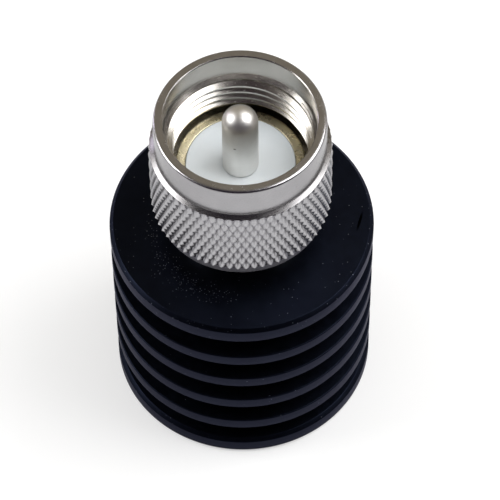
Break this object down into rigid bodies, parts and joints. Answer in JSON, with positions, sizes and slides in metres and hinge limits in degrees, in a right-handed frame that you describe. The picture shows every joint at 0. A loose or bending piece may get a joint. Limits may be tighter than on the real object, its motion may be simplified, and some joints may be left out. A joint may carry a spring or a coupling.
{
  "type": "coaxial terminator",
  "caption": "Round finned heat sink with a plug-type coaxial connector on top: knurled, threaded coupling nut, white insulator and domed centre pin over an inner load resistor.",
  "frame": {"origin": "centre of the heat sink's foot, on the surface it stands on", "axes": "+Z along the axis, from the foot to the tip of the centre pin"},
  "size_m": [0.03, 0.03, 0.0483],
  "materials": {
    "black_anodised": "satin black anodised",
    "plated_brass": "bright nickel plate on brass",
    "plated_pin": "satin silver plate on brass",
    "white_ptfe": "matte white PTFE",
    "spring_steel": "spring steel",
    "bare_brass": "machined brass",
    "rod_ceramic": "film on ceramic"
  },
  "bodies": {
    "load": {"heat_sink": "black_anodised", "connector_body": "plated_brass", "front_insulator": "white_ptfe", "centre_pin": "plated_pin", "support_bead": "white_ptfe", "front_cap": "bare_brass", "rear_cap": "bare_brass", "resistor_rod": "rod_ceramic", "ground_collet": "bare_brass", "taper_sleeve": "bare_brass", "spring_washer": "spring_steel"},
    "ring": {"retaining_ring": "spring_steel"},
    "nut": {"coupling_nut": "plated_brass"}
  },
  "joints": [
    {"name": "nut_float", "type": "slide", "parent": "load", "child": "ring", "axis": [0, 0, 1], "range_m": [0, 0.0012]},
    {"name": "nut_spin", "type": "hinge", "parent": "ring", "child": "nut", "pos_m": [0, 0, 0.038], "axis": [0, 0, 1], "continuous": true}
  ]
}
